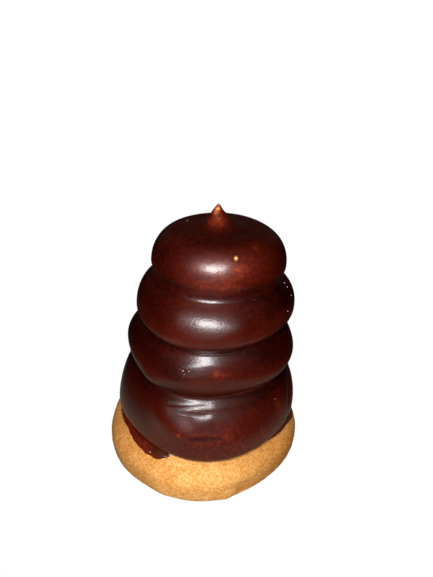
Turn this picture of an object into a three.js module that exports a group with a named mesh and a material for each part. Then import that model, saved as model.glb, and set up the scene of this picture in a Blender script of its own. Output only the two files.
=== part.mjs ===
// A small cream cake: a tall swirl of piped cream in a coat of dark chocolate, on a golden sponge disc.
// The swirl is four rings of piping, one on the other, drawn up into a peaked tip. It leans a
// little to the right, and its chocolate runs out over the sponge in a thin film.
// Millimetres, +Z up. The cake stands on z = 0 with the middle of its outline at x = y = 0.
// The front is -Y and the right is +X. Directions round the cake are degrees from +X towards +Y.
import * as THREE from "three";
import { mergeVertices } from "three/addons/utils/BufferGeometryUtils.js";

// The sponge disc. Its side swells from the foot to its widest height and rounds over to a flat top.
const SPONGE = {
  radius: 27.5,
  footRadius: 26.4,
  widestHeight: 4.3,
  topHeight: 10.9,
  flatTopRadius: 11.8,
  squareness: 2.4,
  // Each lobe: how many go round, their depth as a share of the radius, and where one of them points.
  lobes: [
    { count: 2, depth: 0.017, towards: -71 },
    { count: 3, depth: 0.010, towards: 7 },
    { count: 4, depth: 0.010, towards: -41 },
    { count: 5, depth: 0.016, towards: -14 },
  ],
};

// The rings of piping from the bottom up. The crease is the place where a ring meets the one under it.
// Slope is how far a ring's level drops to the right, roundness 2 makes its shoulder an ellipse and
// less than 2 a straighter slope, and shift moves it to the right.
// The fillet is the chocolate in the crease over a ring. It starts at a share of that ring's shoulder,
// ends at a share of the way out on the next ring's underside, and goes on in the direction of each
// for a share of its own length.
const RINGS = [
  {
    radius: 24.9, height: 13.2, creaseRadius: 21.0, creaseHeight: 10.6,
    roundness: 1.7, slope: 0.013, shift: 0.05,
    fillet: { start: 0.642, end: 0.472, startPull: 0.31, endPull: 0.51 },
    lobes: [
      { count: 2, depth: 0.019, towards: -61 },
      { count: 3, depth: 0.007, towards: 44 },
      { count: 4, depth: 0.020, towards: -2 },
    ],
  },
  {
    radius: 22.0, height: 32.6, creaseRadius: 18.7, creaseHeight: 27.3,
    roundness: 1.54, slope: 0.017, shift: -0.6,
    fillet: { start: 0.664, end: 0.815, startPull: 0.34, endPull: 1.15 },
    lobes: [
      { count: 2, depth: 0.036, towards: -15 },
      { count: 3, depth: 0.014, towards: 30 },
      { count: 4, depth: 0.029, towards: -30 },
    ],
  },
  {
    radius: 20.7, height: 43.9, creaseRadius: 16.7, creaseHeight: 40.1,
    roundness: 1.97, slope: 0.014, shift: -0.3,
    fillet: { start: 0.646, end: 0.97, startPull: 0.15, endPull: 0.36 },
    lobes: [
      { count: 2, depth: 0.019, towards: -73 },
      { count: 3, depth: 0.014, towards: 7 },
      { count: 4, depth: 0.010, towards: -6 },
    ],
  },
  {
    radius: 16.6, height: 55.6, creaseRadius: 12.6, creaseHeight: 53.0,
    roundness: 2.06, slope: 0.043, shift: -0.25,
    lobes: [
      { count: 2, depth: 0.009, towards: 1 },
      { count: 3, depth: 0.015, towards: -28 },
      { count: 4, depth: 0.009, towards: -20 },
    ],
  },
];
const LEAN = 0.0894; // to the right, per millimetre of height

// The tip flares out over the top of the last ring. Its point would be at peakHeight, but it ends
// bluntly at height, and it is shifted to the left from shiftedHeight on.
const TIP = {
  height: 69.65, peakHeight: 70.05, footHeight: 64.1, footRadius: 8.9, flare: 2.6, endRadius: 0.3,
  shift: -1.18, shiftedHeight: 68.5,
};

// The film of chocolate on the sponge, with the places where it has run out further.
const FILM = { thickness: 0.4, reach: 0.15 };
const SPILLS = [
  { towards: -148, halfWidth: 44.5, easing: 16.5, reach: 3.75 },
  { towards: -133, halfWidth: 24, easing: 22, reach: 1.1 },
  { towards: -2, halfWidth: 60, easing: 30, reach: 3.25 },
  { towards: -2, halfWidth: 22, easing: 12, reach: 1.0 },
];
const GAP = 0.3; // between the chocolate and the sponge under it

const SEGMENTS = 72;
const TURN = 2 * Math.PI;

const radians = THREE.MathUtils.degToRad;
const mix = THREE.MathUtils.lerp;
const smooth = (t) => THREE.MathUtils.smoothstep(t, 0, 1);
const steps = (count) => Array.from({ length: count + 1 }, (_, i) => i / count);

// How far out of round a lobed outline is at an angle, as a factor on its radius.
function outOfRound(lobes, angle) {
  return lobes.reduce(
    (sum, { count, depth, towards }) => sum + depth * Math.cos(count * (angle - radians(towards))),
    1,
  );
}

// Turns a profile of { radius, height } points round +Z into a closed body, with each point put
// where place says. The profile starts and ends on the axis and runs from the bottom to the top.
function turnedBody(profile, place) {
  const outline = profile.map(({ radius, height }) => new THREE.Vector2(radius, height));
  let geometry = new THREE.LatheGeometry(outline, SEGMENTS);
  const position = geometry.getAttribute("position");
  for (let i = 0; i < position.count; i++) {
    const segment = Math.floor(i / profile.length) % SEGMENTS;
    const { x, y, z } = place(profile[i % profile.length], (segment / SEGMENTS) * TURN);
    position.setXYZ(i, x, y, z);
  }
  geometry.deleteAttribute("uv");
  geometry.deleteAttribute("normal");
  geometry = mergeVertices(geometry, 1e-4);
  geometry.computeVertexNormals();
  return geometry;
}

// The sponge's top surface over a point, also under the chocolate.
function spongeTop(x, y) {
  const radius = Math.hypot(x, y) / outOfRound(SPONGE.lobes, Math.atan2(y, x));
  const over = Math.max(radius - SPONGE.flatTopRadius, 0) / (SPONGE.radius - SPONGE.flatTopRadius);
  const rise = (1 - Math.min(over, 1) ** SPONGE.squareness) ** (1 / SPONGE.squareness);
  return mix(SPONGE.widestHeight, SPONGE.topHeight, rise);
}

function spongeGeometry() {
  const { radius, footRadius, widestHeight, topHeight, flatTopRadius, squareness, lobes } = SPONGE;
  const power = 2 / squareness;
  const profile = [{ radius: 0, height: 0 }];
  for (const t of steps(5)) {
    const angle = (t * Math.PI) / 2;
    profile.push({
      radius: mix(footRadius, radius, Math.sin(angle) ** power),
      height: widestHeight * (1 - Math.max(Math.cos(angle), 0) ** power),
    });
  }
  for (const t of steps(7).slice(1)) {
    const angle = (t * Math.PI) / 2;
    profile.push({
      radius: mix(flatTopRadius, radius, Math.max(Math.cos(angle), 0) ** power),
      height: mix(widestHeight, topHeight, Math.sin(angle) ** power),
    });
  }
  profile.push({ radius: 0, height: topHeight });
  return turnedBody(profile, (point, angle) => {
    const out = point.radius * outOfRound(lobes, angle);
    return { x: out * Math.cos(angle), y: out * Math.sin(angle), z: point.height };
  });
}

// A ring's underside, from a share of the way out from its crease to its widest place.
function undersidePoints(ring, outFrom) {
  return steps(4).map((t) => {
    const angle = mix(Math.asin(outFrom), Math.PI / 2, t);
    return {
      radius: mix(ring.creaseRadius, ring.radius, Math.sin(angle)),
      height: ring.height - (ring.height - ring.creaseHeight) * Math.cos(angle),
    };
  });
}

// A ring's shoulder, from its widest place in to the next crease or the tip's foot.
function shoulderPoint(ring, inner, t) {
  const angle = (t * Math.PI) / 2;
  const power = 2 / ring.roundness;
  return {
    radius: mix(inner.radius, ring.radius, Math.max(Math.cos(angle), 0) ** power),
    height: mix(ring.height, inner.height, Math.sin(angle) ** power),
  };
}

// The inside points of the fillet between a ring's shoulder and the underside of the ring above.
function filletPoints(shoulder, underside, fillet) {
  const [start, before] = [shoulder(1), shoulder(0.99)];
  const [end, after] = [underside[0], underside[1]];
  const vector = ({ radius, height }) => new THREE.Vector2(radius, height);
  const length = vector(start).distanceTo(vector(end));
  const pulled = (from, behind, pull) => {
    const onward = vector(from).sub(vector(behind)).setLength(pull * length);
    return vector(from).add(onward);
  };
  const nearStart = pulled(start, before, fillet.startPull);
  const nearEnd = pulled(end, after, fillet.endPull);
  const curve = new THREE.CubicBezierCurve(vector(start), nearStart, nearEnd, vector(end));
  return [0.25, 0.5, 0.75].map((t) => {
    const point = curve.getPoint(t);
    return { radius: point.x, height: point.y };
  });
}

// The height of the flared tip at a radius.
function tipHeight(radius) {
  return mix(TIP.footHeight, TIP.peakHeight, (1 - radius / TIP.footRadius) ** TIP.flare);
}

// The profile of the four rings and the tip, from the foot of the bottom ring upwards.
function swirlProfile() {
  const profile = undersidePoints(RINGS[0], 0);
  RINGS.slice(0, -1).forEach((ring, i) => {
    const next = RINGS[i + 1];
    const inner = { radius: next.creaseRadius, height: next.creaseHeight };
    const shoulder = (t) => shoulderPoint(ring, inner, t * ring.fillet.start);
    const underside = undersidePoints(next, ring.fillet.end);
    profile.push(...steps(5).slice(1).map(shoulder));
    profile.push(...filletPoints(shoulder, underside, ring.fillet), ...underside);
  });
  const foot = { radius: TIP.footRadius, height: TIP.footHeight };
  for (const t of steps(6).slice(1)) {
    profile.push(shoulderPoint(RINGS.at(-1), foot, t));
  }
  for (const t of steps(6).slice(1)) {
    const radius = mix(TIP.footRadius, TIP.endRadius, Math.sin((t * Math.PI) / 2));
    profile.push({ radius, height: tipHeight(radius) });
  }
  profile.push({ radius: 0, height: TIP.height });
  return profile;
}

// A value of the rings at a height, eased from each ring's widest place to the next one's.
function eased(height, valueOf) {
  const above = RINGS.findIndex((ring) => ring.height > height);
  if (above === 0) {
    return valueOf(RINGS[0]);
  }
  if (above < 0) {
    return valueOf(RINGS.at(-1));
  }
  const [lower, upper] = [RINGS[above - 1], RINGS[above]];
  const share = (height - lower.height) / (upper.height - lower.height);
  return mix(valueOf(lower), valueOf(upper), smooth(share));
}

// How far the film reaches past the foot of the bottom ring.
function filmReach(angle) {
  return SPILLS.reduce((reach, spill) => {
    const away = Math.abs(((angle - radians(spill.towards) + 1.5 * TURN) % TURN) - Math.PI);
    return reach + spill.reach * smooth((radians(spill.halfWidth) - away) / radians(spill.easing));
  }, FILM.reach);
}

// A point of the profile turned to its direction: out of round, sloped, shifted and leaning.
function leaningPlace(point, angle) {
  const out = point.radius * eased(point.height, (ring) => outOfRound(ring.lobes, angle));
  const x = out * Math.cos(angle);
  const upTip = (point.height - TIP.footHeight) / (TIP.shiftedHeight - TIP.footHeight);
  return {
    x: x + LEAN * point.height + eased(point.height, (ring) => ring.shift) + TIP.shift * smooth(upTip),
    y: out * Math.sin(angle),
    z: point.height - x * eased(point.height, (ring) => ring.slope),
  };
}

// The foot of the bottom ring, before it is set down on the film.
function footPlace(angle) {
  const [bottom] = RINGS;
  return leaningPlace({ radius: bottom.creaseRadius, height: bottom.creaseHeight }, angle);
}

// A point of the swirl in its true place, with the bottom ring's underside eased down onto the film.
function swirlPlace(point, angle) {
  const place = leaningPlace(point, angle);
  const foot = footPlace(angle);
  const drop = spongeTop(foot.x, foot.y) + GAP + FILM.thickness - foot.z;
  const [bottom] = RINGS;
  const down = Math.max(bottom.height - point.height, 0) / (bottom.height - bottom.creaseHeight);
  return { ...place, z: place.z + down * drop };
}

// The film's points lie on the sponge: out is the share of the way to the film's edge, and lift is
// the height over the gap.
function filmPlace({ out, lift }, angle) {
  const foot = footPlace(angle);
  const reach = filmReach(angle) / RINGS[0].creaseRadius;
  const share = out > 1 ? 1 + (out - 1) * reach : out;
  const x = foot.x * share;
  const y = foot.y * share;
  return { x, y, z: spongeTop(x, y) + GAP + lift };
}

function swirlGeometry() {
  const underside = [0, 0.3, 0.55, 0.7, 0.85, 1, 1.3, 1.6, 1.8, 2].map((out) => ({ out, lift: 0 }));
  const top = [2, 1.8, 1.6, 1.3].map((out) => ({ out, lift: FILM.thickness }));
  const film = [...underside, ...top].map((point) => ({ radius: point.out, height: point.lift, film: point }));
  return turnedBody([...film, ...swirlProfile()], (point, angle) =>
    point.film ? filmPlace(point.film, angle) : swirlPlace(point, angle),
  );
}

function part(name, geometry, color, roughness) {
  const mesh = new THREE.Mesh(geometry, new THREE.MeshStandardMaterial({ color, roughness, metalness: 0 }));
  mesh.name = name;
  return mesh;
}

const sponge = part("sponge_base", spongeGeometry(), 0xdfa968, 0.9);
const swirl = part("chocolate_swirl", swirlGeometry(), 0x3f150c, 0.35);

const cake = new THREE.Group();
cake.add(sponge, swirl);
const middle = new THREE.Box3().setFromObject(cake).getCenter(new THREE.Vector3());
cake.position.set(-middle.x, -middle.y, 0);

export default cake;
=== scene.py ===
import math
from collections import namedtuple

import bpy
import numpy as np
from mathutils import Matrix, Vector, noise


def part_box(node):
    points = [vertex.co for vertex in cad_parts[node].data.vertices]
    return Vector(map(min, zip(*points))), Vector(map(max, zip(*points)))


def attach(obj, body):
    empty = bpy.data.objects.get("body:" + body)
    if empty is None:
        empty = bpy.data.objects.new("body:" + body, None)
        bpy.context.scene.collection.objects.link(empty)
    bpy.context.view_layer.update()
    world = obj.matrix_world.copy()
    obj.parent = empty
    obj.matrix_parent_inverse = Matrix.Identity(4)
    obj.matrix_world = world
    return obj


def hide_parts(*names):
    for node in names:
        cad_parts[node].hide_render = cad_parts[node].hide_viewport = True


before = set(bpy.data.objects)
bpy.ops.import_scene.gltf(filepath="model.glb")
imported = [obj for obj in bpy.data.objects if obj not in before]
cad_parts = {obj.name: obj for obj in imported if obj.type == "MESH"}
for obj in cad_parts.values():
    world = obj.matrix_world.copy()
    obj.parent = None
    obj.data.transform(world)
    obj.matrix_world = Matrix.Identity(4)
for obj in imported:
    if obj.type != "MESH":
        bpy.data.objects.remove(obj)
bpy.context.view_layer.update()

METRE = 1000.0
TURN = 2 * math.pi
QUARTER = TURN / 4

# The forms, as the CAD has them

# A lobe is a wave in an outline: how many go round, how deep as a share of the radius, and where one is
Lobe = namedtuple("Lobe", "count depth towards")

# The sponge has a flat foot, a side that is widest low down, and a shoulder that is squarer the larger
# its squareness.
Sponge = namedtuple("Sponge", "radius foot_radius widest_height top_height flat_top_radius squareness lobes")
SPONGE = Sponge(
    radius=27.5, foot_radius=26.4, widest_height=4.3, top_height=10.9, flat_top_radius=11.8, squareness=2.4,
    lobes=[Lobe(2, 0.017, -71), Lobe(3, 0.010, 7), Lobe(4, 0.010, -41), Lobe(5, 0.016, -14)],
)
CAD_FACET = 5  # degrees, each facet of the CAD sponge

# A ring of the swirl rises from the crease under it to its widest place, which is its radius and height,
# and then goes in over its shoulder. It falls towards the right by its slope, and its shift is how far to
# the right of the swirl's lean it sits. The fillet is the chocolate that fills the crease over it: the
# share of its shoulder at which the fillet starts, the share of the way out on the next ring's underside
# at which it ends, and how far it keeps each of their directions, as shares of its own length.
Fillet = namedtuple("Fillet", "start end start_pull end_pull")
Ring = namedtuple("Ring", "radius height crease_radius crease_height roundness slope shift fillet lobes")
RINGS = [  # from the bottom up
    Ring(
        radius=24.9, height=13.2, crease_radius=21.0, crease_height=10.6, roundness=1.7, slope=0.013,
        shift=0.05, fillet=Fillet(0.642, 0.472, 0.31, 0.51),
        lobes=[Lobe(2, 0.019, -61), Lobe(3, 0.007, 44), Lobe(4, 0.020, -2)],
    ),
    Ring(
        radius=22.0, height=32.6, crease_radius=18.7, crease_height=27.3, roundness=1.54, slope=0.017,
        shift=-0.6, fillet=Fillet(0.664, 0.815, 0.34, 1.15),
        lobes=[Lobe(2, 0.036, -15), Lobe(3, 0.014, 30), Lobe(4, 0.029, -30)],
    ),
    Ring(
        radius=20.7, height=43.9, crease_radius=16.7, crease_height=40.1, roundness=1.97, slope=0.014,
        shift=-0.3, fillet=Fillet(0.646, 0.97, 0.15, 0.36),
        lobes=[Lobe(2, 0.019, -73), Lobe(3, 0.014, 7), Lobe(4, 0.010, -6)],
    ),
    Ring(
        radius=16.6, height=55.6, crease_radius=12.6, crease_height=53.0, roundness=2.06, slope=0.043,
        shift=-0.25, fillet=None,
        lobes=[Lobe(2, 0.009, 1), Lobe(3, 0.015, -28), Lobe(4, 0.009, -20)],
    ),
]
LEAN = 0.0894  # to the right, for each millimetre up

# The tip flares out to its foot on the top ring. Drawn to a point it would reach its peak height, but its
# end is blunt. It is bent sideways by its shift, which is to the left, and fully so from its shifted
# height up.
Tip = namedtuple("Tip", "height peak_height foot_height foot_radius flare end_radius shift shifted_height")
TIP = Tip(
    height=69.65, peak_height=70.05, foot_height=64.1, foot_radius=8.9, flare=2.6, end_radius=0.3,
    shift=-1.18, shifted_height=68.5,
)

# The film of chocolate that has run out over the sponge reaches that far past the bottom ring's foot, and
# farther where it has spilled. A spill's half width and easing are in degrees.
FILM_THICKNESS = 0.4
FILM_REACH = 0.15
Spill = namedtuple("Spill", "towards half_width easing reach")
SPILLS = [
    Spill(-148, 44.5, 16.5, 3.75),
    Spill(-133, 24, 22, 1.1),
    Spill(-2, 70, 50, 3.2),
    Spill(-2, 23, 18, 1.2),
]

# How far out the rows of the film's points are: 1 is at the bottom ring's foot, and 2 at the film's edge.
# Its underside lies a little in the sponge, and its edge is rounded from where the edge starts.
FILM_UNDER_ROWS = [0.02, 0.5, 0.85, 1.0, 1.3, 1.6, 1.85, 1.97]
FILM_TOP_ROWS = [1.8, 1.6, 1.4, 1.2, 1.1]
FILM_SUNK = 0.1
FILM_EDGE_START = 1.93
FILM_EDGE_STEPS = 6

# How far the film's edge goes in and out, apart from its right, which is even, and how often
FILM_RAGGED, FILM_RAGGED_SIZE = 0.22, 1.1

# How finely the bodies are made: points round them, and up their profiles. The points up a profile are
# closer together where it bends, by a weight, and in the fine bands, by a density.
SWIRL_SEGMENTS, SWIRL_ROWS, SWIRL_BEND_WEIGHT = 330, 275, 1.2
SPONGE_SEGMENTS, SPONGE_ROWS, SPONGE_BEND_WEIGHT = 560, 150, 0.5
FRONT_DENSITY = 0.45  # how much closer together the points round the swirl are in front
FineBand = namedtuple("FineBand", "low high density")
FINE_BANDS = [FineBand(22.3, 27.0, 2.2), FineBand(33.8, 39.4, 1.2)]

# In how many straight steps each curve is drawn before a profile is divided into its rows
UNDERSIDE_STEPS, SHOULDER_STEPS, FILLET_STEPS = 60, 400, 80
TIP_STEPS, BLUNT_STEPS, SPONGE_STEPS = 200, 8, 300

# What is uneven in the chocolate. Places are an azimuth and a height on the profile.

# A fold is a sharp valley from start to end, bowed up in its middle by bow, or with a negative depth a
# sharp ridge. Above and below are how far its two sides reach, and fades are how far its two ends take
# to die out.
Fold = namedtuple("Fold", "start end bow depth above below fades")
FOLDS = [
    Fold((-121.6, 23.63), (-83.9, 25.68), 0.50, 0.36, 1.31, 1.03, (3.5, 8.0)),
    Fold((-124.2, 23.84), (-88.6, 24.43), 0.29, -0.06, 0.36, 1.00, (3.3, 1.1)),
    Fold((-112.1, 23.41), (-90.3, 22.99), 0.21, -0.05, 0.63, 1.32, (1.7, 1.0)),
    Fold((-115.9, 35.32), (-74.4, 35.98), 1.45, -0.055, 2.96, 0.91, (1.4, 3.3)),
    Fold((-29.0, 14.0), (-4.0, 23.5), 2.4, 0.80, 2.6, 1.6, (3.0, 4.5)),
]

# A patch is an oval place that is raised by rise, thinner and so redder by its thinness value, which at
# two marked patches is painted light instead, or bare of chocolate by bare. Its edge is soft at 2 and
# sharper the larger.
Patch = namedtuple(
    "Patch", "azimuth height half_width half_height edge rise thin bare", defaults=(2, 0, 0, 0),
)
PATCHES = [
    # the tip, which is thinly coated, with bare cream at its very end and in a band under that
    Patch(-103, 66.6, 3.4, 3.4, edge=3, thin=0.46),
    Patch(-112, 69.1, 2.0, 1.9, edge=3, thin=0.36),
    Patch(-98, 69.65, 0.6, 0.26, edge=3, thin=0.1, bare=0.50),
    Patch(-95, 68.75, 0.75, 0.2, edge=4, thin=0.1, bare=0.8),
    Patch(-115, 68.0, 0.5, 0.8, thin=0.2, bare=0.10),
    Patch(-150, 66.0, 4.0, 1.5, thin=0.18),
    # the top ring's shades, its red places and the pinhole that shows the cream
    Patch(-95, 63.6, 5.5, 1.5, thin=-0.12),
    # a painted glow round the flash's highlight on the top ring's front
    Patch(-96, 60.0, 6.5, 2.8, thin=0.39),
    Patch(-60, 60.0, 5.0, 4.0, thin=0.20),
    Patch(-45, 58.0, 4.0, 2.5, thin=-0.11),
    Patch(-141, 56.0, 6.0, 2.2, thin=-0.17),
    Patch(-137, 60.0, 4.0, 2.0, thin=-0.10),
    Patch(-160, 55.0, 4.0, 2.0, thin=0.13),
    Patch(-80, 56.0, 4.0, 2.0, thin=0.14),
    Patch(-66, 55.5, 6.0, 2.0, thin=-0.06),
    # a painted sheen low on the top ring's front
    Patch(-94, 55.2, 6.0, 0.8, thin=0.17),
    Patch(-121, 54.6, 5.0, 0.7, thin=-0.20),
    Patch(-70, 54.7, 5.0, 0.7, thin=-0.15),
    Patch(-94, 53.5, 7.5, 1.2, rise=0.24, thin=-0.04),
    Patch(-53.6, 63.0, 1.1, 0.9, thin=0.32),
    Patch(-73.6, 59.4, 1.6, 1.2, thin=0.20),
    Patch(-73.1, 54.7, 0.4, 0.4, rise=0.03, thin=0.35),
    Patch(-76.4, 61.65, 0.36, 0.36, edge=3, rise=-0.10, thin=0.4, bare=0.9),
    # its swellings and hollows
    Patch(-85.7, 59.9, 5.4, 2.9, rise=-0.30),
    Patch(-108.1, 58.75, 2.8, 4.0, rise=-0.10),
    Patch(-80.3, 60.45, 2.8, 3.5, rise=0.21),
    Patch(-97.3, 57.1, 6.0, 1.7, rise=-0.10),
    Patch(-93.9, 62.3, 7.0, 2.6, rise=-0.20),
    # the third ring's shades and a tiny pit
    Patch(-33, 51.0, 7.0, 4.0, thin=-0.14),
    Patch(-95, 42.5, 5.0, 1.5, thin=-0.08),
    Patch(-137, 42.5, 5.0, 1.5, thin=0.11),
    Patch(-60, 42.5, 5.0, 1.5, thin=0.12),
    Patch(-104.3, 48.1, 0.22, 0.2, rise=-0.05, thin=-0.2),
    # its swellings and hollows
    Patch(-95.7, 47.3, 2.5, 5.8, rise=-0.21),
    Patch(-118.0, 47.5, 3.7, 4.4, rise=0.75),
    Patch(-73.5, 47.0, 3.7, 2.8, rise=0.55),
    Patch(-98.1, 51.7, 7.8, 0.66, rise=0.14),
    Patch(-96.7, 43.5, 8.1, 2.8, rise=0.36),
    Patch(-96.7, 48.3, 3.55, 3.1, rise=0.29),
    # the second ring's shades and its red places
    Patch(-124, 38.5, 5.0, 1.5, thin=0.13),
    Patch(-113, 34.5, 4.0, 1.6, thin=-0.13),
    Patch(-119, 31.0, 7.0, 2.6, thin=-0.23),
    Patch(-85.2, 35.5, 1.6, 1.4, thin=0.37),
    Patch(-79, 34.8, 1.8, 1.0, thin=0.15),
    # its swellings
    Patch(-131, 30.3, 3.4, 2.0, rise=0.50),
    Patch(-100.8, 38.9, 5.3, 0.63, rise=0.07),
    Patch(-84.3, 37.1, 4.8, 1.9, rise=0.10),
    Patch(-106.9, 36.5, 3.2, 1.1, rise=0.16),
    Patch(-107.5, 33.9, 5.2, 2.4, rise=0.32),
    Patch(-101.8, 39.5, 6.4, 2.1, rise=0.07),
    Patch(-89.3, 33.65, 9.5, 3.6, rise=0.41),
    # the bottom ring's shades and its red places
    Patch(-36.0, 19.5, 1.3, 3.5, thin=0.16),
    Patch(-39, 21.8, 1.2, 2.0, thin=0.2),
    Patch(-137, 17.0, 5.5, 4.0, thin=-0.26),
    Patch(-160, 14.0, 6.0, 3.0, thin=0.12),
    Patch(-103, 20.5, 4.0, 2.0, thin=0.18),
    Patch(-77, 20.5, 4.0, 2.0, thin=0.12),
    Patch(-50, 19.0, 6.0, 3.0, thin=-0.06),
    Patch(-66, 21.0, 8.0, 3.0, thin=0.04),
    Patch(-105.5, 19.1, 0.42, 0.42, rise=0.08, thin=0.5),
    # its swellings and hollows
    Patch(-92.5, 24.5, 2.1, 1.7, rise=-0.38),
    Patch(-117.4, 22.3, 3.5, 3.9, rise=0.84),
    Patch(-88.0, 23.1, 1.15, 0.87, rise=0.07),
    Patch(-105.9, 19.5, 4.2, 2.9, rise=0.86),
    Patch(-107.9, 25.5, 8.2, 1.4, rise=0.35),
    Patch(-72.7, 24.3, 10.6, 3.0, rise=-0.54),
    Patch(-100.0, 22.1, 1.2, 2.5, rise=-0.13),
    Patch(-88.9, 20.4, 7.3, 2.3, rise=-0.34),
    Patch(-92.8, 24.6, 1.8, 0.95, rise=0.11),
    # its shallow slot, with a red rim round a dark middle
    Patch(-90, 18.6, 4.8, 1.35, edge=3, thin=0.23),
    Patch(-90, 18.6, 4.0, 0.70, edge=6, rise=-0.07, thin=-0.45),
    Patch(-77.6, 18.6, 0.6, 0.9, thin=0.15),
]

# How thin the chocolate is, from 0 where it is thick and dark to 1 where it glows red. Each ring, from
# the bottom up, has its own on its steep side and on its level shoulder, and in front that much more.
# The steep sides are lighter partly for a thinner coat and partly as painted light bounced up from below,
# and the extra in front is a painted glow round the flash's highlights. Level enough is how much of a
# normal points up where the shoulder's own begins.
Tone = namedtuple("Tone", "steep level front_steep front_level level_enough")
TONES = [
    Tone(0.71, 0.15, -0.10, 0.29, 0.70),
    Tone(0.61, 0.15, -0.11, 0.15, 0.62),
    Tone(0.56, 0.22, 0.02, 0.23, 0.50),
    Tone(0.45, 0.28, 0.09, 0.03, 0.65),
]
# Where the painted glow in front is strongest, and how far round it reaches, in degrees
PAINTED_GLOW_TOWARDS, PAINTED_GLOW_WIDTH = -97, 30
# How much darker the chocolate is in the creases: partly thicker there, partly painted crease shade
CREASE_THICKENING_AND_SHADE = 0.19
CREASE_WIDTH = 1.3

# The film is thicker, and so darker, against the swirl than at its edge, but even at its right, where a
# little of the sponge shows through it. It starts to thin out that far out among its rows.
FILM_INNER_THINNESS, FILM_EDGE_THINNESS, FILM_RIGHT_THINNESS = 0.34, 0.74, 0.72
FILM_THINNING_START, FILM_THINNING_WIDTH = 1.1, 0.8
FILM_RIGHT_BARE = 0.03

# How glossy the coat is, and how much less where it is level and has dried duller. Dull from and dull to
# are how much of a normal points up.
GLOSS = 0.49
TOP_DULLNESS, DULL_FROM, DULL_TO = 0.7, 0.86, 0.96

# Small lumps: specks of dust and blisters on the swirl, with pale specks among the blisters as painted
# glints on them, and on the sponge at the film's edge two crumbs and a lump where the film has gathered
Spot = namedtuple("Spot", "azimuth height half_size")
EdgeSpot = namedtuple("EdgeSpot", "azimuth radius lift half_sizes")
DUST_AND_GLINT_SPECKS = [
    Spot(-15.8, 51.5, 0.15), Spot(-17.0, 50.7, 0.15), Spot(-18.7, 48.8, 0.12), Spot(-30.1, 46.4, 0.15),
    Spot(-59.3, 51.7, 0.055), Spot(162.3, 64.1, 0.13), Spot(-40.0, 23.0, 0.11), Spot(-89.6, 66.7, 0.11),
    # painted glints: pale specks among the second ring's blisters
    Spot(-106.8, 35.8, 0.13), Spot(-103.0, 35.8, 0.11), Spot(-105.5, 35.1, 0.08), Spot(-109.0, 36.0, 0.07),
]
EDGE_CRUMBS = [
    EdgeSpot(-123.1, 23.8, 0.35, (0.25, 0.15, 0.15)),
    EdgeSpot(-109.3, 22.6, 0.35, (0.4, 0.3, 0.25)),
]
BLISTERS = [
    Spot(-107.6, 35.3, 0.24), Spot(-104.4, 35.5, 0.22), Spot(-105.8, 34.6, 0.30), Spot(-103.6, 34.8, 0.24),
    Spot(-69.4, 17.5, 0.24),
]
BLISTER_THINNESS = 0.45
FILM_LUMP = EdgeSpot(-116.8, 22.8, 0.25, (2.3, 1.2, 0.5))
FILM_LUMP_BARE = 0.014
SPOT_SHAPE = (1.2, 0.9, 0.8)  # its half sizes along, across and off the surface, for a half size of 1
LUMP_ROWS, LUMP_SEGMENTS, LUMP_UNEVENNESS = 14, 22, 0.22

# The sponge's crumb, which dies out towards the flat foot, and the dents and bulges of its side
Crumb = namedtuple("Crumb", "depth size")
CRUMBS = [Crumb(0.05, 1.6), Crumb(0.06, 0.7)]
SMOOTH_FOOT_HEIGHT = 0.8
Dent = namedtuple("Dent", "azimuth height half_width half_height rise")
SPONGE_DENTS = [
    Dent(-75.5, 1.0, 2.4, 2.5, 0.40),
    Dent(-66.0, 1.5, 2.6, 3.0, -0.50),
    Dent(-111, 1.0, 2.5, 2.5, 0.25),
    Dent(-124, 1.5, 3.0, 3.0, -0.35),
    Dent(-146, 7.5, 0.9, 0.7, 0.12),
]

# Where the sponge is painted lighter, as light that falls on it: in front, facing the flash, and most of
# all at its foot, as painted light bounced up from the floor
PAINTED_LIGHT_TOWARDS, PAINTED_LIGHT_WIDTH = -94, 36
PAINTED_FOOT_LIGHT_HEIGHT, PAINTED_LIGHT_ABOVE_FOOT = 3.8, 0.75

# The camera, on the cake's own axes, and how far the flash is beside its lens and the bounce behind it
PHOTO_WIDTH, PHOTO_HEIGHT = 433, 577
FOCAL_LENGTH_PX = 460
SENSOR = 36
CAMERA_PLACE = (4.26, -106.17, 102.18)
CAMERA_PITCH = 27.5
NEAREST_SEEN = 5
FLASH_LEFT, FLASH_UP = 9.2, 3.5
BOUNCE_BEHIND = 12

# The lamps, in metres and watts: the flash, the bounce, which is the flash's light off the room, and
# behind the cake a fill light and a narrow spot that only the gloss reflects
FLASH_DIAMETER, FLASH_POWER = 0.036, 0.24
BOUNCE_DIAMETER, BOUNCE_POWER = 0.16, 0.045
LAMP_AIM_HEIGHT = 0.035
REAR_FILL_PLACE = (0.03, 0.20, 0.078)
REAR_FILL_DIAMETER, REAR_FILL_POWER = 0.07, 0.66
REAR_GLOSS_PLACE, REAR_GLOSS_AIM_HEIGHT = (0.03, 0.20, 0.05), 0.024
REAR_GLOSS_RADIUS, REAR_GLOSS_ANGLE, REAR_GLOSS_BLEND, REAR_GLOSS_POWER = 0.010, 12, 0.4, 2.8

# The room's soft light, brighter towards a window behind the cake, which its level tops reflect. The
# colours are those at how near to the window's direction a direction is.
WINDOW_TOWARDS = (0, 0.887, 0.462)
ROOM_COLORS = [(0.55, (0.008, 0.007, 0.0055, 1)), (0.9, (0.060, 0.056, 0.050, 1))]

# The floor lights the cake from below out of an oval pool of light in front of it. The pool is shifted
# and narrowed, and its colours are those at distances from its middle.
FLOOR_SIZE = 4
POOL_SHIFT, POOL_NARROWING = (0.018, 0.07, 0), (2.2, 1, 1)
POOL_COLORS = [(0.085, (0.37, 0.35, 0.28, 1)), (0.150, (0.02, 0.02, 0.02, 1))]

BLACK_LEVEL = 0.0012  # of the view, which darkens the deepest shadows a little

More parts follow.
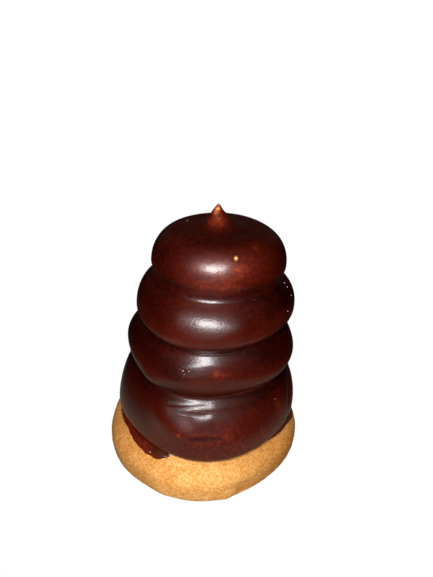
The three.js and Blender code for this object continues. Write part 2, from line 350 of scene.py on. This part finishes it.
# The materials. The scale of a noise is about how many of its lumps fit in a metre.
CHOCOLATE_COLORS = [  # from where it is thick, at 0, to where it is thinnest, at 1
    (0.0, (0.0060, 0.00043, 0.00017, 1)),
    (0.2, (0.0175, 0.0012, 0.00043, 1)),
    (0.6, (0.0505, 0.0039, 0.0013, 1)),
    (0.88, (0.120, 0.0139, 0.0041, 1)),
    (1.0, (0.27, 0.036, 0.010, 1)),
]
INSIDE_COLOR = (0.85, 0.48, 0.16, 1)  # of the cream and sponge where they are bare
Sway = namedtuple("Sway", "scale amount")
CHOCOLATE_SWAYS = [Sway(110, 0.08), Sway(1100, 0.12)]  # clouds and speckles in how thin it is
SWAY_START, SWAY_END = 0.3, 0.7
SATIN_SCALE, SATIN_DEPTH = 2500, 0.00004
CHOCOLATE_ROUGHNESS, CHOCOLATE_SPECULAR, COAT_ROUGHNESS = 0.5, 0.09, 0.25
CHOCOLATE_DETAIL = 3

# The crust's colour, and the lighter colour painted where light falls on it in front and at its foot
CRUST_COLOR, PAINTED_LIT_CRUST_COLOR = (0.62, 0.295, 0.082, 1), (0.86, 0.50, 0.185, 1)
Toast = namedtuple("Toast", "scale start end color")
TOASTS = [
    Toast(260, 0.35, 0.65, (0.92, 0.84, 0.70, 1)),  # browner clouds
    Toast(1250, 0.38, 0.66, (0.84, 0.70, 0.48, 1)),  # toasted streaks
    Toast(2600, 0.48, 0.72, (0.68, 0.52, 0.34, 1)),  # fine dark pores
]
SPONGE_ROUGHNESS, SPONGE_SPECULAR = 0.9, 0.2

# The specks' colours, pale both for dust and for the painted glints
DUST_AND_GLINT_COLORS = (0.30, 0.18, 0.16, 1), (0.62, 0.50, 0.48, 1)
DUST_SCALE, DUST_ROUGHNESS = 2500, 0.8


def mix(a, b, share):
    return a + (b - a) * share


def smooth(t):
    """An eased step from 0 to 1, as t goes from 0 to 1."""
    t = np.clip(t, 0, 1)
    return t * t * (3 - 2 * t)


def out_of_round(lobes, angle):
    """How far out of round a lobed outline is at an angle, as a factor on its radius."""
    return 1 + sum(lobe.depth * np.cos(lobe.count * (angle - math.radians(lobe.towards))) for lobe in lobes)


def away_from(angle, towards):
    """The angle from a direction in degrees, between minus and plus half a turn, in radians."""
    return (angle - math.radians(towards) + 1.5 * TURN) % TURN - math.pi


def points(radius, height):
    """Points of a profile, each a radius and a height."""
    return np.stack(np.broadcast_arrays(radius, height), -1).astype(float)


def steps(count):
    """The ends of that many equal steps from 0 to 1."""
    return np.linspace(0, 1, count + 1)


# The sponge's form

def sponge_top(x, y):
    """The height of the sponge's top over a point, also under the chocolate."""
    radius = np.hypot(x, y) / out_of_round(SPONGE.lobes, np.arctan2(y, x))
    over = np.clip((radius - SPONGE.flat_top_radius) / (SPONGE.radius - SPONGE.flat_top_radius), 0, 1)
    rise = (1 - over ** SPONGE.squareness) ** (1 / SPONGE.squareness)
    return mix(SPONGE.widest_height, SPONGE.top_height, rise)


def sponge_profile():
    """The sponge's profile from the foot up to the top, without the middles of the two."""
    power = 2 / SPONGE.squareness
    angle = steps(SPONGE_STEPS) * QUARTER
    rising = np.sin(angle) ** power
    falling = np.maximum(np.cos(angle), 0) ** power
    side = points(mix(SPONGE.foot_radius, SPONGE.radius, rising), SPONGE.widest_height * (1 - falling))
    shoulder = points(
        mix(SPONGE.flat_top_radius, SPONGE.radius, falling),
        mix(SPONGE.widest_height, SPONGE.top_height, rising),
    )
    return np.concatenate([side, shoulder[1:]])


def sponge_middle():
    """The middle of the CAD sponge's outline, on the sponge's own axes."""
    angle = np.radians(np.arange(0, 360, CAD_FACET))
    radius = SPONGE.radius * out_of_round(SPONGE.lobes, angle)
    x, y = radius * np.cos(angle), radius * np.sin(angle)
    return np.array([x.min() + x.max(), y.min() + y.max()]) / 2


# The swirl's form

def underside(ring, out_from):
    """A ring's underside, from a share of the way out to its widest place."""
    angle = mix(math.asin(out_from), QUARTER, steps(UNDERSIDE_STEPS))
    return points(
        mix(ring.crease_radius, ring.radius, np.sin(angle)),
        ring.height - (ring.height - ring.crease_height) * np.cos(angle),
    )


def shoulder(ring, inner, share):
    """A ring's shoulder, at shares of the way from its widest place in to the point inner."""
    angle = share * QUARTER
    power = 2 / ring.roundness
    return points(
        mix(inner[0], ring.radius, np.maximum(np.cos(angle), 0) ** power),
        mix(ring.height, inner[1], np.sin(angle) ** power),
    )


def fillet_curve(lower, upper, fillet):
    """A round curve that goes on from the end of the lower line and into the start of the upper one."""
    start, end = lower[-1], upper[0]
    length = np.linalg.norm(end - start)
    onward = start - lower[-2]
    back = end - upper[1]
    near_start = start + fillet.start_pull * length * onward / np.linalg.norm(onward)
    near_end = end + fillet.end_pull * length * back / np.linalg.norm(back)
    t = steps(FILLET_STEPS)[1:-1, None]
    from_start = (1 - t) ** 3 * start + 3 * t * (1 - t) ** 2 * near_start
    return from_start + 3 * t * t * (1 - t) * near_end + t ** 3 * end


def tip_height(radius):
    """The height of the tip's flared side at a radius."""
    return mix(TIP.foot_height, TIP.peak_height, (1 - radius / TIP.foot_radius) ** TIP.flare)


def swirl_profile():
    """The profile of the four rings and the tip, in fine steps from the foot of the bottom ring up."""
    profile = [underside(RINGS[0], 0.0)]
    for ring, above in zip(RINGS, RINGS[1:]):
        shares = steps(SHOULDER_STEPS) * ring.fillet.start
        side = shoulder(ring, (above.crease_radius, above.crease_height), shares)
        under = underside(above, ring.fillet.end)
        profile += [side[1:], fillet_curve(side, under, ring.fillet), under]
    profile.append(shoulder(RINGS[-1], (TIP.foot_radius, TIP.foot_height), steps(SHOULDER_STEPS)[1:]))
    radius = mix(TIP.foot_radius, TIP.end_radius, steps(TIP_STEPS)[1:])
    end = steps(BLUNT_STEPS)[1:] * QUARTER
    blunt = points(TIP.end_radius * np.cos(end), mix(tip_height(TIP.end_radius), TIP.height, np.sin(end)))
    profile += [points(radius, tip_height(radius)), blunt]
    return np.concatenate(profile)


def lengths(profile):
    """How far along a profile each of its points is."""
    return np.concatenate([[0], np.cumsum(np.hypot(*np.diff(profile, axis=0).T))])


def resampled(profile, rows, bend_weight, fine_bands=()):
    """The profile with that many rows, closer together where it bends and in the fine bands."""
    along = lengths(profile)
    step = np.diff(profile, axis=0)
    heading = np.unwrap(np.arctan2(step[:, 1], step[:, 0]))
    bend = np.concatenate([[0], np.abs(np.diff(heading)), [0]])
    weight = np.ones(len(profile))
    for band in fine_bands:
        weight += band.density * ((profile[:, 1] > band.low) & (profile[:, 1] < band.high))
    cost = np.cumsum(np.gradient(along) * weight) + bend_weight * np.cumsum(bend)
    places = np.interp(np.linspace(cost[0], cost[-1], rows), cost, along)
    return np.stack([np.interp(places, along, profile[:, i]) for i in range(2)], -1)


def eased(height, values):
    """A value of the rings at a height, eased from each ring's widest place to the next one's."""
    result = np.broadcast_to(values[0], np.broadcast_shapes(np.shape(height), np.shape(values[0])))
    for ring, above, value, value_above in zip(RINGS, RINGS[1:], values, values[1:]):
        share = smooth((height - ring.height) / (above.height - ring.height))
        result = result + (value_above - value) * share
    return result


def film_reach(angle):
    """How far the film reaches past the bottom ring's foot at an angle."""
    reach = FILM_REACH
    for spill in SPILLS:
        inside = math.radians(spill.half_width) - np.abs(away_from(angle, spill.towards))
        reach = reach + spill.reach * smooth(inside / math.radians(spill.easing))
    return reach


def leaning_place(profile, angle):
    """The profile's points turned to the angles: out of round, sloped, shifted and leaning."""
    radius, height = profile[:, :1], profile[:, 1:]
    out = radius * eased(height, [out_of_round(ring.lobes, angle) for ring in RINGS])
    x, y = out * np.cos(angle), out * np.sin(angle)
    tip_shift = TIP.shift * smooth((height - TIP.foot_height) / (TIP.shifted_height - TIP.foot_height))
    place_x = x + LEAN * height + eased(height, [ring.shift for ring in RINGS]) + tip_shift
    place_z = height - x * eased(height, [ring.slope for ring in RINGS])
    return np.stack([place_x, y, place_z], -1)


def foot_place(angle):
    """The foot of the bottom ring, before it is set down on the film."""
    return leaning_place(points([RINGS[0].crease_radius], RINGS[0].crease_height), angle)[0]


def swirl_place(profile, angle):
    """The swirl's points, with the underside of the bottom ring eased down onto the film."""
    place = leaning_place(profile, angle)
    foot = foot_place(angle)
    drop = sponge_top(foot[:, 0], foot[:, 1]) + FILM_THICKNESS - foot[:, 2]
    bottom = RINGS[0]
    down = np.clip((bottom.height - profile[:, 1:]) / (bottom.height - bottom.crease_height), 0, 1)
    place[..., 2] += down * drop
    return place


def film_rows():
    """The film's rows from its middle under the swirl round its edge: how far out, and how far up."""
    edge = steps(FILM_EDGE_STEPS) * QUARTER
    out = np.concatenate([FILM_UNDER_ROWS, mix(FILM_EDGE_START, 2, np.cos(edge)), FILM_TOP_ROWS])
    lift = np.concatenate([
        np.full(len(FILM_UNDER_ROWS), -FILM_SUNK),
        FILM_THICKNESS * np.sin(edge),
        np.full(len(FILM_TOP_ROWS), FILM_THICKNESS),
    ])
    return out, lift


def film_place(out, lift, angle, ragged):
    """The film's points over the sponge. Ragged is how much farther it reaches at each angle."""
    foot = foot_place(angle)
    reach = (film_reach(angle) + ragged) / RINGS[0].crease_radius
    share = np.where(out[:, None] > 1, 1 + (out[:, None] - 1) * reach, out[:, None])
    x, y = foot[:, 0] * share, foot[:, 1] * share
    return np.stack([x, y, sponge_top(x, y) + lift[:, None]], -1)


# Making the meshes

def normals_of(grid):
    """The outward normals of a closed grid of rows up and columns round."""
    up = np.gradient(grid, axis=0)
    around = np.roll(grid, -1, axis=1) - np.roll(grid, 1, axis=1)
    normal = np.cross(around, up)
    return normal / np.maximum(np.linalg.norm(normal, axis=-1, keepdims=True), 1e-9)


def with_poles(grid):
    """A grid's points or numbers in one row, with the means of its two end rows as poles after them."""
    return np.concatenate([grid.reshape(-1, *grid.shape[2:]), grid[:1].mean(1), grid[-1:].mean(1)])


def closed_faces(rows, columns):
    """The faces of a closed body over a grid of rows up and columns round, with a pole at each end."""
    i, j = np.meshgrid(np.arange(rows - 1), np.arange(columns), indexing="ij")
    beside = (j + 1) % columns
    corners = [i * columns + j, i * columns + beside, (i + 1) * columns + beside, (i + 1) * columns + j]
    quads = np.stack(corners, -1).reshape(-1, 4)
    round_ends = list(zip(range(columns), beside[0].tolist()))
    bottom, top, last = rows * columns, rows * columns + 1, (rows - 1) * columns
    fans = [(bottom, b, a) for a, b in round_ends] + [(top, last + a, last + b) for a, b in round_ends]
    return quads.tolist() + fans


def new_object(name, grids, middle, **values):
    """One object of closed bodies, each from a grid of points in millimetres.

    Each of the values has a grid of numbers for each body, which the material reads as an attribute of
    that name.
    """
    vertices, faces = [], []
    for grid in grids:
        faces += [tuple(len(vertices) + corner for corner in face) for face in closed_faces(*grid.shape[:2])]
        vertices += ((with_poles(grid) - [*middle, 0]) / METRE).tolist()
    mesh = bpy.data.meshes.new(name)
    mesh.from_pydata(vertices, [], faces)
    mesh.polygons.foreach_set("use_smooth", [True] * len(mesh.polygons))
    mesh.update()
    for title, grids_of_numbers in values.items():
        attribute = mesh.attributes.new(title, "FLOAT", "POINT")
        numbers = np.concatenate([with_poles(grid) for grid in grids_of_numbers])
        attribute.data.foreach_set("value", numbers.astype(np.float32))
    obj = bpy.data.objects.new(name, mesh)
    bpy.context.collection.objects.link(obj)
    return obj


def grain(grid, size):
    """Smooth noise between about -1 and 1 at each point of a grid, with lumps of that size."""
    flat = grid.reshape(-1, 3) / size
    dimension, lacunarity, octaves = 1.0, 2.0, 2
    values = [noise.fractal(Vector(p), dimension, lacunarity, octaves) for p in flat.tolist()]
    return np.array(values).reshape(grid.shape[:2])


def fold_relief(fold, profile, angle):
    """How far a fold raises the profile's points at the angles."""
    (start, start_height), (end, end_height) = fold.start, fold.end
    middle_azimuth = (start + end) / 2
    azimuth = middle_azimuth + np.degrees(away_from(angle, middle_azimuth))
    share = (azimuth - start) / (end - start)
    line = mix(start_height, end_height, share) + fold.bow * 4 * share * (1 - share)
    over = lengths(profile)[:, None] - np.interp(line, profile[:, 1], lengths(profile))
    across = np.where(over > 0, fold.above, fold.below)
    radius = np.interp((start_height + end_height) / 2, profile[:, 1], profile[:, 0])
    from_start, from_end = np.radians([azimuth - start, end - azimuth]) * radius
    strength = smooth(from_start / fold.fades[0]) * smooth(from_end / fold.fades[1])
    return -fold.depth * strength * np.exp(-np.abs(over) / across)


def patch_strength(patch, profile, angle):
    """How strong a patch is at the profile's points at the angles, from 0 to 1."""
    across = profile[:, :1] * away_from(angle, patch.azimuth) / patch.half_width
    along = lengths(profile)[:, None] - np.interp(patch.height, profile[:, 1], lengths(profile))
    return np.exp(-np.hypot(across, along / patch.half_height) ** patch.edge)


def relief(profile, angle):
    """How far the folds and patches raise the profile's points at the angles."""
    folds = sum(fold_relief(fold, profile, angle) for fold in FOLDS)
    return folds + sum(patch.rise * patch_strength(patch, profile, angle) for patch in PATCHES if patch.rise)


def by_ring(height, values):
    """One value for each ring, with a quick change at the creases."""
    result = np.full(np.shape(height), float(values[0]))
    for ring, below, value in zip(RINGS[1:], values, values[1:]):
        result = result + (value - below) * smooth((height - ring.crease_height) / CREASE_WIDTH + 0.5)
    return result


def coat_thinness_and_painted_light(profile, angle, level):
    """How thinly the chocolate lies, from 0 to about 1: it has run down from level places into the creases.
    Painted light is added to it: a glow in front, light bounced onto the steep sides, and shade in the
    creases.
    """
    steep, shoulder_tone, painted_glow_steep, painted_glow_level, level_enough = [
        by_ring(profile[:, 1:], values) for values in zip(*TONES)
    ]
    # The painted glow round the flash's highlights in front
    painted_glow = np.exp(-(np.degrees(away_from(angle, PAINTED_GLOW_TOWARDS)) / PAINTED_GLOW_WIDTH) ** 2)
    share = smooth(level / level_enough)
    thin = mix(steep + painted_glow_steep * painted_glow, shoulder_tone + painted_glow_level * painted_glow, share)
    along = lengths(profile)[:, None]
    # Darker in the creases, partly for chocolate gathered there and partly as painted shade
    for ring in RINGS[1:]:
        crease = np.interp(ring.crease_height, profile[:, 1], lengths(profile))
        thin = thin - CREASE_THICKENING_AND_SHADE * np.exp(-((along - crease) / CREASE_WIDTH) ** 2)
    return thin


def denser_in_front(count):
    """That many angles round the cake, closer together at the front."""
    even = np.linspace(0, TURN, count, endpoint=False)
    return even - FRONT_DENSITY * np.sin(even + QUARTER)


def build_film(angle):
    """The film's points, how thinly its chocolate lies, and how bare it leaves the sponge."""
    on_right = smooth(2 * np.cos(angle))
    ragged = FILM_RAGGED * (1 - on_right) * grain(foot_place(angle)[None], FILM_RAGGED_SIZE)[0]
    out, lift = film_rows()
    thinning = smooth((out[:, None] - FILM_THINNING_START) / FILM_THINNING_WIDTH)
    thin = mix(FILM_INNER_THINNESS, FILM_EDGE_THINNESS, thinning)
    thin = mix(thin, FILM_RIGHT_THINNESS, on_right)
    bare = np.broadcast_to(FILM_RIGHT_BARE * on_right, thin.shape)
    return film_place(out, lift, angle, ragged), thin, bare


def build_tower(angle):
    """The points of the rings and the tip, how thinly coated they are with painted light added, how bare,
    and how dull.
    """
    profile = resampled(swirl_profile(), SWIRL_ROWS, SWIRL_BEND_WEIGHT, FINE_BANDS)[:-1]
    tower = swirl_place(profile, angle)
    normals = normals_of(tower)
    level = normals[..., 2]
    thin = coat_thinness_and_painted_light(profile, angle, level)
    bare = np.zeros(thin.shape)
    for patch in PATCHES:
        strength = patch_strength(patch, profile, angle)
        thin = thin + patch.thin * strength
        bare = bare + patch.bare * strength
    dull = TOP_DULLNESS * smooth((level - DULL_FROM) / (DULL_TO - DULL_FROM))
    return tower + normals * relief(profile, angle)[..., None], thin, bare, dull


def build_coat(middle):
    """The chocolate's one body: the film from under the swirl round its edge, then the tower over it."""
    angle = denser_in_front(SWIRL_SEGMENTS)
    film, film_thin, film_bare = build_film(angle)
    tower, tower_thin_and_painted_light, tower_bare, tower_dull = build_tower(angle)
    grid = np.concatenate([film, tower])
    thin = np.concatenate([film_thin, tower_thin_and_painted_light])
    bare = np.concatenate([film_bare, tower_bare])
    gloss = GLOSS * (1 - np.concatenate([np.zeros(film_thin.shape), tower_dull]))
    return new_object("chocolate_coat", [grid], middle, thin=[thin], bare=[bare], gloss=[gloss])


def lump(centre, along, across, normal, half_sizes):
    """An uneven lump about a point, with its half sizes along, across and off the surface."""
    up = np.linspace(-QUARTER, QUARTER, LUMP_ROWS + 2)[1:-1, None]
    turn = np.linspace(0, TURN, LUMP_SEGMENTS, endpoint=False)
    x, y, z = np.cos(up) * np.cos(turn), np.cos(up) * np.sin(turn), np.sin(up)
    sphere = np.stack(np.broadcast_arrays(x, y, z), -1)
    uneven = grain(sphere * max(half_sizes) + centre, max(half_sizes))
    sphere = sphere * (1 + LUMP_UNEVENNESS * uneven)[..., None]
    return centre + (sphere * half_sizes) @ np.stack([along, across, normal])


def lump_on_swirl(spot, profile):
    """An uneven lump that sits half sunk in the swirl."""
    beside = 0.5
    angle = np.radians(spot.azimuth + np.array([-beside, 0, beside]))
    row = np.argmin(np.abs(profile[:, 1] - spot.height))
    grid = swirl_place(profile, angle)
    along = grid[row, 2] - grid[row, 0]
    up = grid[row + 1, 1] - grid[row - 1, 1]
    along, up = along / np.linalg.norm(along), up / np.linalg.norm(up)
    normal = np.cross(along, up)
    centre = grid[row, 1] + normal * relief(profile, angle)[row, 1]
    return lump(centre, along, up, normal, np.array(SPOT_SHAPE) * spot.half_size)


def lumps_on_swirl(spots):
    """The lumps at these spots, set on a profile of finer rows than the coat's."""
    profile = resampled(swirl_profile(), 4 * SWIRL_ROWS, 0)
    return [lump_on_swirl(spot, profile) for spot in spots]


def lump_on_sponge(spot):
    """An uneven lump that lies on the sponge, at the film's edge."""
    azimuth = math.radians(spot.azimuth)
    x, y = spot.radius * math.cos(azimuth), spot.radius * math.sin(azimuth)
    out = np.array([math.cos(azimuth), math.sin(azimuth), 0])
    step = 0.2
    out[2] = (sponge_top(x + step * out[0], y + step * out[1]) - sponge_top(x, y)) / step
    out = out / np.linalg.norm(out)
    around = np.array([-math.sin(azimuth), math.cos(azimuth), 0])
    centre = np.array([x, y, sponge_top(x, y) + spot.lift])
    return lump(centre, around, out, np.cross(around, out), np.array(spot.half_sizes))


def build_crumbs_dust_and_glints(middle):
    """Pale specks of dust that stick to the chocolate, pale specks painted as glints on the second ring's
    blisters, and crumbs at the film's edge.
    """
    grids = lumps_on_swirl(DUST_AND_GLINT_SPECKS) + [lump_on_sponge(crumb) for crumb in EDGE_CRUMBS]
    return new_object("crumbs", grids, middle)


def build_blisters(middle):
    """Blisters in the chocolate, and the lump where the film has gathered."""
    grids = lumps_on_swirl(BLISTERS) + [lump_on_sponge(FILM_LUMP)]
    thin = [np.full(grid.shape[:2], BLISTER_THINNESS) for grid in grids]
    bare = [np.zeros(grid.shape[:2]) for grid in grids]
    bare[-1] += FILM_LUMP_BARE
    gloss = [np.full(grid.shape[:2], GLOSS) for grid in grids]
    return new_object("blisters", grids, middle, thin=thin, bare=bare, gloss=gloss)


def build_sponge(middle):
    """The sponge disc, with its crumb, its dents, and its painted light, lighter in front and at its foot.
    """
    angle = np.linspace(0, TURN, SPONGE_SEGMENTS, endpoint=False)
    profile = resampled(sponge_profile(), SPONGE_ROWS, SPONGE_BEND_WEIGHT)
    out = profile[:, :1] * out_of_round(SPONGE.lobes, angle)
    x, y, z = out * np.cos(angle), out * np.sin(angle), profile[:, 1:]
    grid = np.stack(np.broadcast_arrays(x, y, z), -1)
    uneven = sum(crumb.depth * grain(grid, crumb.size) for crumb in CRUMBS)
    for dent in SPONGE_DENTS:
        across = out * away_from(angle, dent.azimuth) / dent.half_width
        up = (grid[..., 2] - dent.height) / dent.half_height
        uneven = uneven + dent.rise * np.exp(-across ** 2 - up ** 2)
    grid = grid + normals_of(grid) * (uneven * smooth(grid[..., 2] / SMOOTH_FOOT_HEIGHT))[..., None]
    # Painted light: lighter in front, facing the flash, and at the foot, as if lit from the floor
    from_painted_light = np.degrees(away_from(angle, PAINTED_LIGHT_TOWARDS)) / PAINTED_LIGHT_WIDTH
    pale = np.exp(-from_painted_light ** 2) * mix(1, PAINTED_LIGHT_ABOVE_FOOT, smooth(grid[..., 2] / PAINTED_FOOT_LIGHT_HEIGHT))
    return new_object("sponge_disc", [grid], middle, pale=[pale])


# The materials

def new_material(name):
    material = bpy.data.materials.new(name)
    material.use_nodes = True
    tree = material.node_tree
    return material, tree.nodes, tree.links, tree.nodes["Principled BSDF"]


def attribute(nodes, name):
    """What a mesh's attribute of that name says."""
    node = nodes.new("ShaderNodeAttribute")
    node.attribute_name = name
    return node.outputs["Fac"]


def noise_texture(nodes, links, scale, detail=2):
    """A noise about the object's own axes."""
    place = nodes.new("ShaderNodeTexCoord")
    node = nodes.new("ShaderNodeTexNoise")
    node.inputs["Scale"].default_value = scale
    node.inputs["Detail"].default_value = detail
    links.new(place.outputs["Object"], node.inputs["Vector"])
    return node.outputs["Fac"]


def ramp(nodes, links, value, colors):
    """The colour at a value, from places and their colours in order."""
    node = nodes.new("ShaderNodeValToRGB")
    elements = node.color_ramp.elements
    elements[0].position, elements[0].color = colors[0]
    elements[1].position, elements[1].color = colors[-1]
    for position, color in colors[1:-1]:
        elements.new(position).color = color
    links.new(value, node.inputs["Fac"])
    return node.outputs["Color"]


def spread(nodes, links, value, start, end, low, high):
    """A value with start to end spread over low to high."""
    node = nodes.new("ShaderNodeMapRange")
    node.inputs["From Min"].default_value = start
    node.inputs["From Max"].default_value = end
    node.inputs["To Min"].default_value = low
    node.inputs["To Max"].default_value = high
    links.new(value, node.inputs["Value"])
    return node.outputs["Result"]


def color_mix(nodes, links, share, color, other, blend="MIX"):
    """A colour with a share of another, which is a constant, mixed into it."""
    node = nodes.new("ShaderNodeMix")
    node.data_type = "RGBA"
    node.blend_type = blend
    node.inputs["B"].default_value = other
    links.new(share, node.inputs["Factor"])
    if isinstance(color, tuple):
        node.inputs["A"].default_value = color
    else:
        links.new(color, node.inputs["A"])
    return node.outputs["Result"]


def chocolate_material():
    material, nodes, links, shader = new_material("chocolate")
    # The colour runs from thick to thin chocolate, and the same attribute carries painted light: a glow in
    # front, light bounced onto steep sides and shade in the creases
    thin = attribute(nodes, "thin")
    for sway in CHOCOLATE_SWAYS:
        cloud = noise_texture(nodes, links, sway.scale, CHOCOLATE_DETAIL)
        more = spread(nodes, links, cloud, SWAY_START, SWAY_END, -sway.amount, sway.amount)
        add = nodes.new("ShaderNodeMath")
        links.new(thin, add.inputs[0])
        links.new(more, add.inputs[1])
        thin = add.outputs["Value"]
    color = ramp(nodes, links, thin, CHOCOLATE_COLORS)
    color = color_mix(nodes, links, attribute(nodes, "bare"), color, INSIDE_COLOR)
    links.new(color, shader.inputs["Base Color"])
    bump = nodes.new("ShaderNodeBump")
    bump.inputs["Strength"].default_value = 1.0
    bump.inputs["Distance"].default_value = SATIN_DEPTH
    links.new(noise_texture(nodes, links, SATIN_SCALE, CHOCOLATE_DETAIL), bump.inputs["Height"])
    links.new(bump.outputs["Normal"], shader.inputs["Normal"])
    links.new(bump.outputs["Normal"], shader.inputs["Coat Normal"])
    shader.inputs["Roughness"].default_value = CHOCOLATE_ROUGHNESS
    shader.inputs["Specular IOR Level"].default_value = CHOCOLATE_SPECULAR
    links.new(attribute(nodes, "gloss"), shader.inputs["Coat Weight"])
    shader.inputs["Coat Roughness"].default_value = COAT_ROUGHNESS
    return material


def sponge_material():
    material, nodes, links, shader = new_material("sponge")
    # The crust is painted lighter where the pale attribute gives its painted light, in front and at the foot
    color = color_mix(nodes, links, attribute(nodes, "pale"), CRUST_COLOR, PAINTED_LIT_CRUST_COLOR)
    for toast in TOASTS:
        crumb = noise_texture(nodes, links, toast.scale)
        strength = spread(nodes, links, crumb, toast.start, toast.end, 0, 1)
        color = color_mix(nodes, links, strength, color, toast.color, "MULTIPLY")
    links.new(color, shader.inputs["Base Color"])
    shader.inputs["Roughness"].default_value = SPONGE_ROUGHNESS
    shader.inputs["Specular IOR Level"].default_value = SPONGE_SPECULAR
    return material


def dust_and_glint_material():
    material, nodes, links, shader = new_material("dust")
    # Pale specks: dust, and painted glints on the blisters
    color = color_mix(nodes, links, noise_texture(nodes, links, DUST_SCALE), *DUST_AND_GLINT_COLORS)
    links.new(color, shader.inputs["Base Color"])
    shader.inputs["Roughness"].default_value = DUST_ROUGHNESS
    return material


def white_to_camera(nodes, links, seen, lit, output):
    """What the camera sees is the one shader, and what lights the cake is the other."""
    ray = nodes.new("ShaderNodeLightPath")
    choose = nodes.new("ShaderNodeMixShader")
    links.new(ray.outputs["Is Camera Ray"], choose.inputs["Fac"])
    links.new(lit, choose.inputs[1])
    links.new(seen, choose.inputs[2])
    links.new(choose.outputs["Shader"], output.inputs["Surface"])


def floor_material():
    """White where the camera sees it, and a dimmer pale floor to everything else."""
    material, nodes, links, shader = new_material("floor")
    nodes.remove(shader)
    place = nodes.new("ShaderNodeTexCoord")
    pool = nodes.new("ShaderNodeMapping")
    pool.inputs["Location"].default_value = POOL_SHIFT
    pool.inputs["Scale"].default_value = POOL_NARROWING
    links.new(place.outputs["Object"], pool.inputs["Vector"])
    reach = nodes.new("ShaderNodeVectorMath")
    reach.operation = "LENGTH"
    links.new(pool.outputs["Vector"], reach.inputs[0])
    lit = nodes.new("ShaderNodeBsdfDiffuse")
    links.new(ramp(nodes, links, reach.outputs["Value"], POOL_COLORS), lit.inputs["Color"])
    seen = nodes.new("ShaderNodeEmission")
    white_to_camera(nodes, links, seen.outputs["Emission"], lit.outputs["BSDF"], nodes["Material Output"])
    return material


# The scene round the cake

def make_camera(middle):
    data = bpy.data.cameras.new("camera")
    data.sensor_width = SENSOR
    data.lens = FOCAL_LENGTH_PX * SENSOR / max(PHOTO_WIDTH, PHOTO_HEIGHT)
    data.clip_start = NEAREST_SEEN / METRE
    camera = bpy.data.objects.new("camera", data)
    camera.location = (np.array(CAMERA_PLACE) - [*middle, 0]) / METRE
    camera.rotation_euler = (math.radians(90 - CAMERA_PITCH), 0, 0)
    bpy.context.collection.objects.link(camera)
    bpy.context.scene.camera = camera
    return camera


def beside_lens(camera, behind):
    """The place of the flash beside the camera's lens, or that far behind it."""
    bpy.context.view_layer.update()
    turn = camera.matrix_world.to_3x3()
    return camera.location + turn @ Vector((-FLASH_LEFT, FLASH_UP, behind)) / METRE


def place_lamp(data, place, aimed_height):
    lamp = bpy.data.objects.new(data.name, data)
    lamp.location = place
    aim = Vector((0, 0, aimed_height)) - lamp.location
    lamp.rotation_euler = aim.to_track_quat("-Z", "Y").to_euler()
    lamp.visible_camera = False
    bpy.context.collection.objects.link(lamp)
    return lamp


def make_round_lamp(name, place, diameter, power):
    data = bpy.data.lights.new(name, "AREA")
    data.shape = "DISK"
    data.size = diameter
    data.energy = power
    return place_lamp(data, place, LAMP_AIM_HEIGHT)


def make_rear_lamps():
    """A fill light behind the cake, and a narrow spot for its gloss that stays below the level top."""
    fill = make_round_lamp("rear fill", REAR_FILL_PLACE, REAR_FILL_DIAMETER, REAR_FILL_POWER)
    fill.visible_glossy = False
    data = bpy.data.lights.new("rear gloss", "SPOT")
    data.shadow_soft_size = REAR_GLOSS_RADIUS
    data.spot_size = math.radians(REAR_GLOSS_ANGLE)
    data.spot_blend = REAR_GLOSS_BLEND
    data.energy = REAR_GLOSS_POWER
    spot = place_lamp(data, REAR_GLOSS_PLACE, REAR_GLOSS_AIM_HEIGHT)
    spot.visible_diffuse = False


def make_world():
    world = bpy.data.worlds.new("world")
    world.use_nodes = True
    nodes, links = world.node_tree.nodes, world.node_tree.links
    nodes.clear()
    place = nodes.new("ShaderNodeTexCoord")
    towards_window = nodes.new("ShaderNodeVectorMath")
    towards_window.operation = "DOT_PRODUCT"
    towards_window.inputs[1].default_value = WINDOW_TOWARDS
    links.new(place.outputs["Generated"], towards_window.inputs[0])
    room = nodes.new("ShaderNodeBackground")
    links.new(ramp(nodes, links, towards_window.outputs["Value"], ROOM_COLORS), room.inputs["Color"])
    seen = nodes.new("ShaderNodeBackground")
    seen.inputs["Color"].default_value = (1, 1, 1, 1)
    output = nodes.new("ShaderNodeOutputWorld")
    white_to_camera(nodes, links, seen.outputs["Background"], room.outputs["Background"], output)
    bpy.context.scene.world = world


def make_floor():
    bpy.ops.mesh.primitive_plane_add(size=FLOOR_SIZE)
    floor = bpy.context.object
    floor.name = "floor"
    floor.data.materials.append(floor_material())


lowest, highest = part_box("sponge_base")
box_middle = np.array(((lowest + highest) / 2)[:2]) * METRE
middle = sponge_middle() - box_middle

coat, blisters = build_coat(middle), build_blisters(middle)
disc, crumbs = build_sponge(middle), build_crumbs_dust_and_glints(middle)
for slot, material, pieces in (
    ("chocolate", chocolate_material(), (coat, blisters)),
    ("sponge", sponge_material(), (disc,)),
    ("sponge", dust_and_glint_material(), (crumbs,)),
):
    for piece in pieces:
        piece.data.materials.append(material)
        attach(piece, "root")
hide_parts("chocolate_swirl")
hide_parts("sponge_base")

camera = make_camera(middle)
make_round_lamp("flash", beside_lens(camera, 0), FLASH_DIAMETER, FLASH_POWER)
make_round_lamp("bounce", beside_lens(camera, BOUNCE_BEHIND), BOUNCE_DIAMETER, BOUNCE_POWER)
make_rear_lamps()
make_world()
make_floor()
view = bpy.context.scene.view_settings
view.view_transform = "Standard"
view.use_curve_mapping = True
view.curve_mapping.black_level = (BLACK_LEVEL, BLACK_LEVEL, BLACK_LEVEL)
view.curve_mapping.update()
